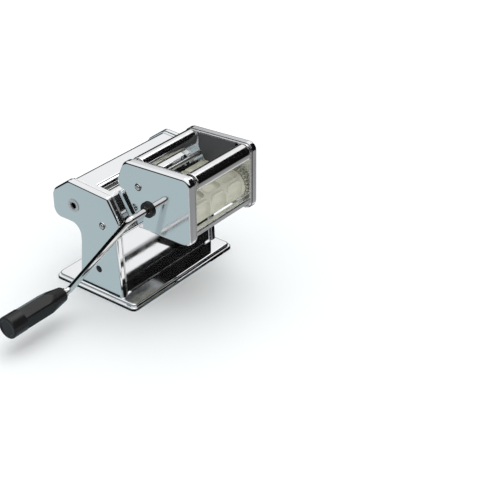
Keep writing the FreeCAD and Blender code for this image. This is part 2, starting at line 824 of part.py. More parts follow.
def make_knob_spring():
    y, z = gap_shaft_at
    r = knob_cavity_r - 1.6
    x0, x1 = knob_shoulder_x + spring_wire_r + 0.05, knob_screw_x - spring_wire_r - 0.05
    steps = int(spring_turns * 12)
    points = []
    for k in range(steps + 1):
        a = 2 * math.pi * spring_turns * k / steps
        points.append(V(x0 + (x1 - x0) * k / steps, y + r * math.cos(a), z + r * math.sin(a)))
    circle = Part.Wire(Part.makeCircle(spring_wire_r, points[0], points[1] - points[0]))
    return Part.makePolygon(points).makePipeShell([circle], True, False, 1)


def make_knob_screw():
    y, z = gap_shaft_at
    washer = rod(y, z, knob_cavity_r - 0.5, knob_screw_x, knob_screw_x + 0.8)
    head = rod(y, z, 3.6, knob_screw_x + 0.8, knob_screw_x + 2.6)
    head = head.makeFillet(0.8, edges_at_x(head, knob_screw_x + 2.6))
    head = head.cut(block(knob_screw_x + 1.6, knob_screw_x + 4, y - 4, y + 4, z - 0.4, z + 0.4))
    return fused(washer, head)


def make_knob_cap():
    y, z = gap_shaft_at
    disc = rod(y, z, knob_cavity_r - 0.02, knob_x1 - 1.0, knob_x1 + 0.8)
    return disc.makeFillet(0.6, edges_at_x(disc, knob_x1 + 0.8))


def make_scrapers():
    # Two thin blades that lie just under the sheet rollers and peel the dough off them.
    blades = []
    for axis, lean in ((drive_axis, 1), (driven_axis, -1)):
        reach = roller_r + 0.4
        travel = gap_travel if lean < 0 else 0.0
        top = (axis[0] + lean * 2.0, axis[1] - reach - 0.2)
        low = (axis[0] + lean * (13.0 + travel), axis[1] - reach - 3.2)
        path = [top + (0.0,), low + (0.0,)] if lean > 0 else [low + (0.0,), top + (0.0,)]
        blade = prism(strip(path, -0.8), -sheet_end_x, sheet_end_x)
        room = gear_module * (gear_teeth + 2) / 2 + 0.6
        for y in (axis[0], axis[0] - travel):
            blade = blade.cut(rod(y, axis[1], room, gear_x0 - 0.6, gear_x1 + 0.6))
        blades.append(blade)
    return blades


# Ravioli attachment

def make_cap(side):
    cap = pressed_cover(cap_outline, cap_face_x, cap_depth, cap_wall, cap_edge_r, side, 0)
    x0, x1 = side * (cap_face_x - cap_depth), side * (cap_face_x + 2)
    cap = cap.cut(rod(rod_att_at[0], rod_att_at[1], screw_shank_r + 0.1, x0, x1))
    if side < 0:
        cap = cap.cut(rod(mould_axis[0], mould_axis[1], hub_tube_r + 0.1, x0, x1))
    return cap


def make_att_pan(side):
    out_x, in_x = side * att_pan_out_x, side * att_plate_in_x
    plate = prism(att_pan_outline, out_x, in_x)
    rim = prism(att_pan_outline, in_x, side * att_pan_rim_x).cut(
        prism(att_pan_hollow, in_x, side * (att_pan_rim_x - 1)))
    pan = plate.fuse(rim)
    rear_r = hub_tube_r if side < 0 else small_bush_r
    cuts = [rod(mould_axis[0], mould_axis[1], rear_r, out_x, in_x),
            rod(front_mould_axis[0], front_mould_axis[1], small_bush_r, out_x, in_x),
            rod(rod_att_at[0], rod_att_at[1], screw_shank_r + 0.1, out_x, in_x)]
    for guide in (front_guide, rear_guide):
        cuts.append(rod(guide[0], guide[1], guide_journal_r + running_fit, out_x, in_x))
    for cut in cuts:
        pan = pan.cut(cut)
    return pan.removeSplitter()


def make_mould(axis, nip_deg):
    # Roller with rows of square pockets. nip_deg is the side where it meets the other mould.
    y, z = axis
    roller = rod(y, z, mould_r, -mould_half, mould_half)
    tool = block(-pocket_size / 2, pocket_size / 2, -pocket_size / 2, pocket_size / 2,
                 mould_r - pocket_depth, mould_r + 6.0)
    upright = [e for e in tool.Edges if abs(e.Vertexes[0].Point.z - e.Vertexes[1].Point.z) > 1]
    tool = tool.makeFillet(pocket_corner_r, upright)
    floor_z = mould_r - pocket_depth
    floor_edges = [e for e in tool.Edges if all(abs(p.Point.z - floor_z) < 1e-4 for p in e.Vertexes)]
    tool = tool.makeFillet(pocket_floor_r, floor_edges)
    for k in range(pockets_round):
        for j in range(pockets_across):
            cutter = tool.copy()
            cutter.translate(V((j - (pockets_across - 1) / 2.0) * pocket_pitch, 0, 0))
            cutter.rotate(V(0, 0, 0), V(1, 0, 0), nip_deg - 90 + k * 360.0 / pockets_round)
            cutter.translate(V(0, y, z))
            roller = roller.cut(cutter)
    return roller


def make_rear_mould():
    y, z = mould_axis
    left = rod(y, z, drive_journal_r, -mould_half, mould_end_x)
    right = rod(y, z, small_journal_r, mould_half, att_pan_out_x + 1.6)
    roller = make_mould(mould_axis, 180.0).fuse(left).fuse(right)
    return roller.cut(d_bore(y, z, mould_end_x - 1, mould_end_x + socket_depth))


def make_front_mould():
    y, z = front_mould_axis
    roller = make_mould(front_mould_axis, 0.0)
    reach = att_pan_out_x + 1.6
    return roller.fuse(rod(y, z, small_journal_r, -reach, -mould_half)).fuse(
        rod(y, z, small_journal_r, mould_half, reach))


def make_hub():
    y, z = mould_axis
    boss = rod(y, z, hub_r, -cap_face_x, -(cap_face_x + hub_proud))
    boss = boss.makeFillet(1.0, edges_at_x(boss, -(cap_face_x + hub_proud)))
    tube = rod(y, z, hub_tube_r, -att_plate_in_x, -cap_face_x)
    lip_in_x = -(cap_face_x + hub_proud - bush_lip)
    hub = fused(boss, tube).cut(rod(y, z, drive_journal_r + running_fit, -40, lip_in_x))
    return hub.cut(rod(y, z, hub_lip_r, -40, -80))


def make_mould_bushes():
    left = flanged_bush(front_mould_axis, small_bush_r, small_journal_r + running_fit,
                        -att_plate_in_x, -att_pan_out_x)
    right_front = flanged_bush(front_mould_axis, small_bush_r, small_journal_r + running_fit,
                               att_plate_in_x, att_pan_out_x)
    right_rear = flanged_bush(mould_axis, small_bush_r, small_journal_r + running_fit,
                              att_plate_in_x, att_pan_out_x)
    return [left, right_front, right_rear]


def make_guide_roller(guide):
    y, z, r = guide
    body = rod(y, z, r, -guide_half, guide_half)
    body = body.makeFillet(0.8, edges_at_x(body, -guide_half) + edges_at_x(body, guide_half))
    for side in (-1, 1):
        rim = rod(y, z, r - 1.6, side * (guide_half - 1.5), side * (guide_half + 1))
        core = rod(y, z, guide_journal_r + 1.2, side * (guide_half - 2), side * (guide_half + 2))
        body = body.cut(rim.cut(core))
    reach = att_pan_out_x + 0.4
    return fused(body, rod(y, z, guide_journal_r, -reach, reach))


def make_hopper_wall(side):
    # Dark end wall between the guide rollers, with a folded top edge under the pan rim.
    in_x, out_x = side * hopper_in_x, side * (hopper_in_x + hopper_wall)
    lines = inset(cap_outline, 1.4)
    mouth_rear = rear_guide[0] - rear_guide[2] - 1.0
    mouth_front = front_guide[0] + front_guide[2] + 1.0
    low_z = mould_axis[1] + mould_r * 0.35
    region = [(mouth_rear, 200.0, 0.0), (mouth_front, 200.0, 0.0), (mouth_front, 158.0, 3.0),
              (front_mould_axis[0] + 3.0, low_z, 3.0), (mould_axis[0] - 3.0, low_z, 3.0),
              (mouth_rear, 158.0, 3.0)]
    wall = prism(lines, in_x, out_x).common(prism(region, in_x, out_x))
    fold_span = block(out_x, side * (att_plate_in_x - 0.1), mouth_front, mouth_rear, 165, 200)
    fold = prism(att_inner_outline, out_x, side * (att_plate_in_x - 0.1)).cut(
        prism(inset(att_inner_outline, hopper_wall), out_x, side * att_plate_in_x)).common(fold_span)
    return fused(wall, fold)


def make_cross_bar():
    face_y = att_inner_outline[7][0]
    path = [(face_y, bar_top_z - bar_face, 0.0), (face_y, bar_top_z, 2.0),
            (face_y + bar_depth, bar_top_z, 0.0)]
    reach = att_plate_in_x
    return prism(strip(path, -bar_sheet), -reach, reach)


def make_hanger():
    # Rear plate of the attachment with two hooks that drop over the lip of the rail.
    reach = att_plate_in_x
    out = hanger_d + hanger_sheet
    shape = prism(slope_corners([(4, hanger_d), (4, out), (24, out), (24, hanger_d)]), -reach, reach)
    front, rear = hook_leg_y()
    low, top = rail_lip_top + 0.1, rail_lip_top + 0.1 + hook_sheet
    inside = hanger_d + hanger_sheet / 2
    hook = [(rear, rail_step_z + 1.3), (rear, top), (panel_y(top, inside), top),
            (panel_y(low, inside), low), (front, low), (front, rail_step_z + 1.3)]
    for side in (-1, 1):
        x0, x1 = side * 10.0, side * hook_half_x
        shape = shape.fuse(prism([p + (0.0,) for p in hook], min(x0, x1), max(x0, x1)))
    return shape.removeSplitter()


def make_att_rod():
    y, z = rod_att_at
    reach = att_plate_in_x
    bar = rod(y, z, tie_rod_r + 0.5, -reach, reach)
    for side in (-1, 1):
        bar = bar.cut(rod(y, z, screw_shank_r, side * reach, side * (reach - 7)))
    return bar


# Crank

def crank_corners():
    a = math.radians(crank_angle_deg)
    y, z = mould_axis
    y2, z2 = y + crank_radius * math.sin(a), z - crank_radius * math.cos(a)
    tip_x = mould_end_x + socket_depth - crank_tip_play
    bend_x = -(cap_face_x + crank_out)
    return [V(tip_x, y, z), V(bend_x, y, z), V(bend_x - crank_flare, y2, z2), V(spindle_end_x, y2, z2)]


spindle_end_x = grip_start_x - grip_len + 6.0


def make_crank_rod():
    points = crank_corners()
    edges = []
    start = points[0]
    for i in (1, 2):
        before, corner, after = points[i - 1], points[i], points[i + 1]
        u, v = (before - corner).normalize(), (after - corner).normalize()
        half = math.acos(u.dot(v)) / 2.0
        t, k = crank_bend_r / math.tan(half), crank_bend_r / math.sin(half) - crank_bend_r
        enter, leave = corner + u * t, corner + v * t
        middle = corner + (u + v).normalize() * k
        edges.append(Part.LineSegment(start, enter).toShape())
        edges.append(Part.Arc(enter, middle, leave).toShape())
        start = leave
    edges.append(Part.LineSegment(start, points[3]).toShape())
    circle = Part.Wire(Part.makeCircle(crank_rod_r, points[0], V(1, 0, 0)))
    shape = Part.Wire(edges).makePipeShell([circle], True, False)
    tip = points[0]
    flat = block(tip.x + 1, tip.x - socket_depth, tip.y - 5, tip.y + 5, tip.z + crank_flat, tip.z + 9)
    return shape.cut(flat)


def make_ferrule():
    p = crank_corners()[3]
    ring = rod(p.y, p.z, ferrule_r, grip_start_x + 0.15, grip_start_x + 0.15 + ferrule_len)
    ring = ring.makeFillet(1.0, edges_at_x(ring, grip_start_x + 0.15 + ferrule_len))
    groove_x = grip_start_x + 0.15 + ferrule_len * 0.4
    groove = rod(p.y, p.z, ferrule_r + 1, groove_x, groove_x + 0.8)
    ring = ring.cut(groove.cut(rod(p.y, p.z, ferrule_r - ferrule_groove, groove_x - 1, groove_x + 2)))
    return ring.cut(rod(p.y, p.z, crank_rod_r, grip_start_x - 5, grip_start_x + 9))


def make_grip():
    # Turned plastic grip with a long cone, six flats and a plain round end.
    p = crank_corners()[3]
    x0, x1 = grip_start_x, grip_start_x - grip_len
    profile = [(x0, 0), (x0, grip_neck_r), (x0 - grip_cone_len, grip_cone_r), (x1, grip_r), (x1, 0)]
    points = [V(x, p.y, p.z + r) for x, r in profile]
    body = Part.Face(Part.makePolygon(points + [points[0]])).revolve(V(0, p.y, p.z), V(1, 0, 0), 360)
    for k in range(grip_flats):
        slab = block(x0 - grip_flat_start, x1 + grip_flat_end, p.y - 20, p.y + 20, p.z + grip_flat, p.z + 30)
        slab.rotate(V(0, p.y, p.z), V(1, 0, 0), (k + 0.5) * 360.0 / grip_flats)
        body = body.cut(slab)
    round_end = [e for e in body.Edges if all(abs(q.Point.x - x1) < 1e-4 for q in e.Vertexes)]
    body = body.makeFillet(1.6, round_end)
    body = body.makeFillet(0.9, edges_at_x(body, x0))
    body = body.cut(rod(p.y, p.z, crank_rod_r + grip_bore_fit, x0 + 1, x1 - 1))
    return body.cut(rod(p.y, p.z, grip_end_bore_r, x1 - 1, spindle_end_x + 2.0))


def make_spindle_washer():
    p = crank_corners()[3]
    washer = rod(p.y, p.z, 7.4, spindle_end_x + 1.85, spindle_end_x + 0.65)
    return washer.cut(rod(p.y, p.z, crank_rod_r, spindle_end_x - 2, spindle_end_x + 3))


def make_grip_cap():
    p = crank_corners()[3]
    end = grip_start_x - grip_len
    disc = rod(p.y, p.z, grip_end_bore_r, end + 0.8, end + 3.0)
    return disc.makeFillet(0.5, edges_at_x(disc, end + 0.8))


def main():
    os.makedirs("parts", exist_ok=True)
    save("base_plate", make_base_plate())
    save("base_screws", *make_base_screws())
    for name, side in (("left", -1), ("right", 1)):
        save(name + "_side_cover", make_side_cover(side))
        save(name + "_frame_pan", make_frame_pan(side))
        save("attachment_%s_cap" % name, make_cap(side))
        save("attachment_%s_pan" % name, make_att_pan(side))
        save("hopper_%s_wall" % name, make_hopper_wall(side))
    save("rear_hood", make_hood())
    save("front_panel", make_front_panel())
    save("lower_front_cover", make_lower_cover())
    save("dough_slide", make_dough_slide())
    save("hanging_rail", make_hanging_rail())
    save("rail_rivets", *make_rail_rivets())
    save("crank_bush", make_crank_bush())
    save("clamp_socket", make_clamp_socket())
    save("drive_roller_bush", flanged_bush(drive_axis, small_bush_r, small_journal_r + running_fit,
                                           plate_in_x, pan_plate_out_x))
    save("tie_rods", *make_tie_rods())
    cover_head_x = cover_face_x + washer_h
    rod_tip_x = plate_in_x - rod_screw_reach
    save("cover_screws", *[screw(cover_fixing(s), s * cover_head_x, s * rod_tip_x) for s in (-1, 1)])
    save("cover_washers", *[cup_washer(cover_fixing(s), s * cover_face_x) for s in (-1, 1)])
    inner_spots = [(s, spot) for s in (-1, 1) for spot in (cover_screw_at, rear_rod_at, low_rod_at)
                   if spot != cover_fixing(s)]
    save("frame_screws", *[screw(spot, s * pan_plate_out_x, s * rod_tip_x) for s, spot in inner_spots])
    save("dough_scrapers", *make_scrapers())

    save("drive_roller", make_drive_roller())
    save("drive_roller_gear", gear(drive_axis, gear_module, gear_teeth, gear_x0, gear_x1,
                                   small_journal_r, 180.0))
    save("driven_roller", make_driven_roller())
    save("driven_roller_gear", gear(driven_axis, gear_module, gear_teeth, gear_x0, gear_x1,
                                    small_journal_r, 180.0 / gear_teeth))
    save("gap_blocks", *make_gap_blocks())
    save("gap_shaft", make_gap_shaft())
    save("detent_plate", make_detent_plate())
    save("thickness_knob", make_knob())
    save("detent_pin", make_detent_pin())
    save("knob_spring", make_knob_spring())
    save("knob_screw", make_knob_screw())
    save("knob_cap", make_knob_cap())

    save("rear_mould_roller", make_rear_mould())
    save("front_mould_roller", make_front_mould())
    save("rear_mould_gear", gear(mould_axis, mould_module, mould_teeth, mould_gear_x0, mould_gear_x1,
                                 small_journal_r, 180.0))
    save("front_mould_gear", gear(front_mould_axis, mould_module, mould_teeth, mould_gear_x0,
                                  mould_gear_x1, small_journal_r, 180.0 / mould_teeth))
    save("hub_bush", make_hub())
    save("mould_bushes", *make_mould_bushes())
    save("front_guide_roller", make_guide_roller(front_guide))
    save("rear_guide_roller", make_guide_roller(rear_guide))
    save("lower_cross_bar", make_cross_bar())
    save("hanger_plate", make_hanger())
    save("attachment_tie_rod", make_att_rod())
    cap_head_x = cap_face_x + washer_h
    att_tip_x = att_plate_in_x - att_screw_reach
    save("cap_screws", *[screw(rod_att_at, s * cap_head_x, s * att_tip_x) for s in (-1, 1)])
    save("cap_washers", *[cup_washer(rod_att_at, s * cap_face_x) for s in (-1, 1)])

    save("crank_rod", make_crank_rod())
    save("crank_ferrule", make_ferrule())
    save("spindle_washer", make_spindle_washer())
    save("crank_grip", make_grip())
    save("grip_end_cap", make_grip_cap())


main()
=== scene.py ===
import bpy
import bmesh
import math
from mathutils import Matrix, Vector


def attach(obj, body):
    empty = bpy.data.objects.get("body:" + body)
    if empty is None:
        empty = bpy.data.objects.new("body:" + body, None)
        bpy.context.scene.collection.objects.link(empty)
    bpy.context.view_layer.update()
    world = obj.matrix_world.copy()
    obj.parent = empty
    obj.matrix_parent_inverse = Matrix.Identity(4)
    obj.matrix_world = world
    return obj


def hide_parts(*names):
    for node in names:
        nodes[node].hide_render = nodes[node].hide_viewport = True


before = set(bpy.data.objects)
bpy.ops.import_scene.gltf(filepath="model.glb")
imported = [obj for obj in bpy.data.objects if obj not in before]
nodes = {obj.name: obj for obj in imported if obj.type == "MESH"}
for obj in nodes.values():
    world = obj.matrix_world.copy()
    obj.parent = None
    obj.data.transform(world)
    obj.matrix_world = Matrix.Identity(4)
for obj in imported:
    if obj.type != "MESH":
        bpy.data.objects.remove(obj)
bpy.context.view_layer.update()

mm = 0.001
scene = bpy.context.scene
print("frame loaded:", len(nodes), "nodes")


# ---- camera, at the photographed angle
cameraSetup = {"place": (-0.92021, -0.86087, 0.780), "look": (0.6810, 0.5158, -0.5198), "lens": 84.43}

cameraData = bpy.data.cameras.new("camera")
cameraData.lens = cameraSetup["lens"]
cameraData.sensor_width = 36.0
cameraData.clip_start = 0.02
cameraData.clip_end = 20.0
camera = bpy.data.objects.new("camera", cameraData)
camera.location = cameraSetup["place"]
camera.rotation_mode = "QUATERNION"
camera.rotation_quaternion = Vector(cameraSetup["look"]).to_track_quat("-Z", "Y")
scene.collection.objects.link(camera)
scene.camera = camera


# ---- materials
# colour and second are mixed by a soft noise, rough is a low and a high value driven by the grain,
# grain is the noise's stretch along x, y and z in cells per metre.
looks = {
    "polishedSheet": {"colour": (0.86, 0.87, 0.88), "second": (0.80, 0.81, 0.83), "patch": 9.0,
                      "metal": 1.0, "rough": (0.05, 0.10), "grain": (60, 60, 60),
                      "bump": 0.02, "depth": 0.0004},
    "brushedSteel": {"colour": (0.74, 0.75, 0.76), "second": (0.62, 0.63, 0.65), "patch": 20.0,
                     "metal": 1.0, "rough": (0.20, 0.36), "grain": (40, 900, 900),
                     "bump": 0.10, "depth": 0.0002},
    "paleFrame": {"colour": (0.90, 0.905, 0.91), "second": (0.84, 0.85, 0.86), "patch": 14.0,
                  "metal": 1.0, "rough": (0.22, 0.34), "grain": (70, 500, 500),
                  "bump": 0.06, "depth": 0.0002},
    "fastener": {"colour": (0.78, 0.78, 0.78), "second": (0.66, 0.66, 0.66), "patch": 80.0,
                 "metal": 1.0, "rough": (0.12, 0.22), "grain": (300, 300, 300),
                 "bump": 0.05, "depth": 0.0002},
    "rollerChrome": {"colour": (0.84, 0.845, 0.85), "second": (0.76, 0.765, 0.775), "patch": 12.0,
                     "metal": 1.0, "rough": (0.06, 0.14), "grain": (600, 30, 30),
                     "bump": 0.04, "depth": 0.0002},
    "crankChrome": {"colour": (0.80, 0.80, 0.80), "second": (0.70, 0.70, 0.71), "patch": 30.0,
                    "metal": 1.0, "rough": (0.05, 0.12), "grain": (160, 160, 160),
                    "bump": 0.03, "depth": 0.0003},
    "gearSteel": {"colour": (0.56, 0.56, 0.57), "second": (0.46, 0.46, 0.47), "patch": 60.0,
                  "metal": 1.0, "rough": (0.25, 0.42), "grain": (700, 120, 120),
                  "bump": 0.12, "depth": 0.0002},
    "mouldIvory": {"colour": (0.66, 0.66, 0.56), "second": (0.60, 0.60, 0.49), "patch": 25.0,
                   "metal": 0.0, "rough": (0.30, 0.42), "grain": (350, 350, 350),
                   "bump": 0.05, "depth": 0.0002},
    "blackGloss": {"colour": (0.008, 0.008, 0.009), "second": (0.013, 0.013, 0.014), "patch": 40.0,
                   "metal": 0.0, "rough": (0.20, 0.30), "grain": (900, 900, 900),
                   "bump": 0.05, "depth": 0.0002, "shine": 0.25},
    "blackPaintAndShade": {"colour": (0.012, 0.012, 0.013), "second": (0.018, 0.018, 0.019), "patch": 40.0,
                   "metal": 0.0, "rough": (0.30, 0.40), "grain": (700, 700, 700),
                   "bump": 0.05, "depth": 0.0002, "shine": 0.25},
    "blackMatt": {"colour": (0.026, 0.026, 0.028), "second": (0.020, 0.020, 0.022), "patch": 40.0,
                  "metal": 0.0, "rough": (0.45, 0.60), "grain": (900, 900, 900),
                  "bump": 0.08, "depth": 0.0002, "shine": 0.2},
    "darkPlasticAndShade": {"colour": (0.085, 0.088, 0.095), "second": (0.07, 0.072, 0.078), "patch": 30.0,
                    "metal": 0.0, "rough": (0.38, 0.52), "grain": (1100, 1100, 1100),
                    "bump": 0.15, "depth": 0.0002},
    "greyPlastic": {"colour": (0.40, 0.42, 0.44), "second": (0.36, 0.38, 0.40), "patch": 40.0,
                    "metal": 0.0, "rough": (0.36, 0.48), "grain": (900, 900, 900),
                    "bump": 0.10, "depth": 0.0002},
    "whiteMark": {"colour": (0.80, 0.80, 0.80), "second": (0.74, 0.74, 0.74), "patch": 90.0,
                  "metal": 0.0, "rough": (0.40, 0.50), "grain": (900, 900, 900),
                  "bump": 0.03, "depth": 0.0001},
}


def makeMaterial(name, look):
    material = bpy.data.materials.new(name)
    material.use_nodes = True
    tree = material.node_tree
    make = tree.nodes.new
    link = tree.links.new
    shader = tree.nodes["Principled BSDF"]
    shader.inputs["Metallic"].default_value = look["metal"]
    shader.inputs["Specular IOR Level"].default_value = look.get("shine", 0.5)
    place = make("ShaderNodeTexCoord")
    patch = make("ShaderNodeTexNoise")
    patch.inputs["Scale"].default_value = look["patch"]
    patch.inputs["Detail"].default_value = 3.0
    link(place.outputs["Object"], patch.inputs["Vector"])
    mix = make("ShaderNodeMix")
    mix.data_type = "RGBA"
    for socket in mix.inputs:
        if socket.type == "RGBA":
            socket.default_value = (*(look["colour"] if socket.name == "A" else look["second"]), 1)
    link(patch.outputs["Fac"], mix.inputs["Factor"])
    colourOut = [s for s in mix.outputs if s.type == "RGBA"][0]
    link(colourOut, shader.inputs["Base Color"])
    stretch = make("ShaderNodeMapping")
    stretch.inputs["Scale"].default_value = look["grain"]
    link(place.outputs["Object"], stretch.inputs["Vector"])
    grain = make("ShaderNodeTexNoise")
    grain.inputs["Scale"].default_value = 1.0
    grain.inputs["Detail"].default_value = 4.0
    link(stretch.outputs["Vector"], grain.inputs["Vector"])
    spread = make("ShaderNodeMapRange")
    spread.inputs["From Min"].default_value = 0.3
    spread.inputs["From Max"].default_value = 0.7
    spread.inputs["To Min"].default_value = look["rough"][0]
    spread.inputs["To Max"].default_value = look["rough"][1]
    link(grain.outputs["Fac"], spread.inputs["Value"])
    link(spread.outputs["Result"], shader.inputs["Roughness"])
    bump = make("ShaderNodeBump")
    bump.inputs["Strength"].default_value = look["bump"]
    bump.inputs["Distance"].default_value = look["depth"]
    link(grain.outputs["Fac"], bump.inputs["Height"])
    link(bump.outputs["Normal"], shader.inputs["Normal"])
    return material


materials = {name: makeMaterial(name, look) for name, look in looks.items()}
print("materials made:", len(materials))

nodeLooks = {
    "polishedSheet": ["base_plate", "left_side_cover", "right_side_cover", "rear_hood", "front_panel",
                      "lower_front_cover", "attachment_left_cap", "attachment_right_cap"],
    "paleFrame": ["left_frame_pan", "right_frame_pan", "attachment_left_pan", "attachment_right_pan",
                  "lower_cross_bar"],
    "brushedSteel": ["dough_slide", "tie_rods", "attachment_tie_rod", "dough_scrapers", "gap_shaft",
                     "detent_pin", "knob_spring", "spindle_washer"],
    "blackPaintAndShade": ["hanging_rail", "hanger_plate"],
    "blackMatt": ["grip_end_cap"],
    "fastener": ["base_screws", "rail_rivets", "cover_screws", "cover_washers", "frame_screws", "cap_screws",
                 "cap_washers", "knob_screw"],
    "rollerChrome": ["drive_roller", "driven_roller", "front_guide_roller", "rear_guide_roller"],
    "crankChrome": ["crank_rod", "crank_ferrule"],
    "gearSteel": ["drive_roller_gear", "driven_roller_gear", "gap_blocks"],
    "mouldIvory": ["rear_mould_roller", "front_mould_roller", "rear_mould_gear", "front_mould_gear"],
    "blackGloss": ["crank_grip", "hub_bush", "thickness_knob"],
    # dark plastic parts; the clamp socket, a steel tube, takes this dark colour as painted shade inside its
    # hole
    "darkPlasticAndShade": ["hopper_left_wall", "hopper_right_wall", "mould_bushes", "drive_roller_bush",
                    "detent_plate", "clamp_socket"],
    "greyPlastic": ["knob_cap", "crank_bush"],
}
for lookName, members in nodeLooks.items():
    for member in members:
        obj = nodes[member]
        for slotIndex in range(max(1, len(obj.material_slots))):
            if not obj.material_slots:
                obj.data.materials.append(materials[lookName])
            else:
                obj.material_slots[slotIndex].link = "OBJECT"
                obj.material_slots[slotIndex].material = materials[lookName]


# ---- pieces
def addPiece(name, bm, look, body, replaced=(), sharpAngle=35.0):
    mesh = bpy.data.meshes.new(name)
    bm.to_mesh(mesh)
    bm.free()
    mesh.shade_smooth()
    mesh.set_sharp_from_angle(angle=math.radians(sharpAngle))
    mesh.materials.append(materials[look])
    piece = bpy.data.objects.new(name, mesh)
    scene.collection.objects.link(piece)
    if replaced:
        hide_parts(*replaced)
    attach(piece, body)
    print("piece:", name, len(mesh.polygons), "faces")
    return piece


def turnProfile(bm, profile, spot, steps=48, closed=False):
    # profile is (x, radius) in mm, spun about the line along x through spot (y, z)
    verts = [bm.verts.new((x * mm, spot[0] * mm, (spot[1] + r) * mm)) for x, r in profile]
    ends = verts[1:] + verts[:1] if closed else verts[1:]
    edges = [bm.edges.new(pair) for pair in zip(verts, ends)]
    bmesh.ops.spin(bm, geom=verts + edges, cent=(0, spot[0] * mm, spot[1] * mm), axis=(1, 0, 0),
                   angle=2 * math.pi, steps=steps, use_merge=True)
    bmesh.ops.remove_doubles(bm, verts=bm.verts, dist=1e-6)


def finishTurning(bm):
    bmesh.ops.recalc_face_normals(bm, faces=bm.faces)
    return bm


# screws that show: a domed head with a cross recess, in a washer; a black disc on the washer's dished floor
# and a black cross in the recess are painted shade
screwShape = {
    "head": [(0.36, 2.0), (0.36, 3.0), (0.80, 3.2), (1.35, 3.05), (1.75, 2.55), (1.98, 1.95), (2.06, 1.62),
             (2.10, 1.15), (2.12, 0.70), (2.12, 0.32), (2.12, 0.0)],
    "washer": [(0.02, 4.42), (0.55, 4.42), (0.72, 4.50), (0.80, 4.62), (0.74, 4.78), (0.50, 4.88),
               (0.02, 4.90)],
    "floor": [(0.06, 2.1), (0.40, 2.1), (0.42, 4.44)],
    "crossFrom": 1.5, "crossReach": 1.36, "crossMiddle": 0.4, "crossWidth": 12.0, "crossDepth": 0.85,
    "barReach": 1.25, "barHalf": 0.34, "barTop": 1.5, "barThick": 0.3, "shankR": 2.0,
    "turned": {-1: 24, 1: 52}}
screwPlaces = {
    "cover": {"face": 89.0, "tip": -13.7, "spots": {-1: (-17.4, 99.3), 1: (47.0, 98.0)},
              "body": "machine", "screws": "cover_screws", "washers": "cover_washers"},
    "cap": {"face": 61.5, "tip": -14.0, "spots": {-1: (-51.4, 149.5), 1: (-51.4, 149.5)},
            "body": "attachment", "screws": "cap_screws", "washers": "cap_washers"}}


def addScrews(kind, place):
    heads, washers, shadeMarks = bmesh.new(), bmesh.new(), bmesh.new()
    for side, spot in place["spots"].items():
        def outward(profile):
            return [(side * (place["face"] + h), r) for h, r in profile]
        shank = [(place["tip"], 0.0), (place["tip"], screwShape["shankR"])]
        turnProfile(heads, outward(shank + screwShape["head"]), spot, 32)
        turnProfile(washers, outward(screwShape["washer"]), spot, 48)
        turnProfile(shadeMarks, outward(screwShape["floor"]), spot, 48)
        turned = Matrix.Rotation(math.radians(screwShape["turned"][side]), 3, "X")
        for vert in heads.verts:
            if vert.co.x * side < (place["face"] + screwShape["crossFrom"]) * mm:
                continue
            y, z = vert.co.y / mm - spot[0], vert.co.z / mm - spot[1]
            r = math.hypot(y, z)
            quarter = (math.degrees(math.atan2(z, y)) + 45.0) % 90.0 - 45.0
            inArm = abs(quarter) < screwShape["crossWidth"] or r < screwShape["crossMiddle"]
            if r < screwShape["crossReach"] and inArm:
                vert.co.x -= side * screwShape["crossDepth"] * mm
        bmesh.ops.rotate(heads, cent=(0, spot[0] * mm, spot[1] * mm), matrix=turned,
                         verts=[v for v in heads.verts if v.co.x * side > 0])
        # two crossed black bars at the bottom of the recess: painted shade
        reach, half, thick = screwShape["barReach"], screwShape["barHalf"], screwShape["barThick"]
        barX = side * (place["face"] + screwShape["barTop"] - thick)
        for size in ((thick, reach, half), (thick, half, reach)):
            bar = bmesh.ops.create_cube(shadeMarks, size=2.0)["verts"]
            bmesh.ops.scale(shadeMarks, vec=[v * mm for v in size], verts=bar)
            bmesh.ops.rotate(shadeMarks, cent=(0, 0, 0), matrix=turned, verts=bar)
            bmesh.ops.translate(shadeMarks, vec=(barX * mm, spot[0] * mm, spot[1] * mm), verts=bar)
    addPiece(kind + "Screws", finishTurning(heads), "fastener", place["body"],
             (place["screws"],), 40)
    addPiece(kind + "Washers", finishTurning(washers), "fastener", place["body"],
             (place["washers"],), 60)
    # painted shade: black discs on the washers' floors and black crosses in the recesses
    addPiece(kind + "WasherPaintedShade", finishTurning(shadeMarks), "blackPaintAndShade", place["body"])


for kind, place in screwPlaces.items():
    addScrews(kind, place)


# painted dark reflection line: a black bead between each cover's open rim and the pan inside it, standing in
# for the dark that a rolled rim would mirror, from the outline's corners (y, z, radius)
rims = {
    "machineRimPaintedReflection": {"rimX": 81.5, "floorZ": 8.0, "body": "machine", "corners": [
        (-41.8, -6.0, 0.0), (-38.5, 88.0, 12.0), (-45.0, 108.0, 5.0), (-27.5, 138.5, 3.5), (34.0, 142.5, 9.0),
        (62.5, 121.5, 16.0), (62.8, 87.0, 12.0), (20.5, 87.0, 14.0), (20.8, 64.0, 40.0), (28.5, -6.0, 0.0)]},
    "attachmentRimPaintedReflection": {"rimX": 52.8, "floorZ": 0.0, "body": "attachment", "corners": [
        (-44.31, 94.5, 5.0), (-44.31, 110.0, 4.0), (-29.3, 137.6, 3.0), (-20.5, 139.0, 5.0),
        (-17.8, 150.0, 14.0), (-30.0, 176.5, 12.0), (-128.2, 181.4, 10.0), (-128.2, 96.0, 11.0),
        (-110.2, 94.5, 30.0)]}}
bead = {"inset": 0.70, "radius": 0.50, "sides": 10, "cornerSteps": 8}


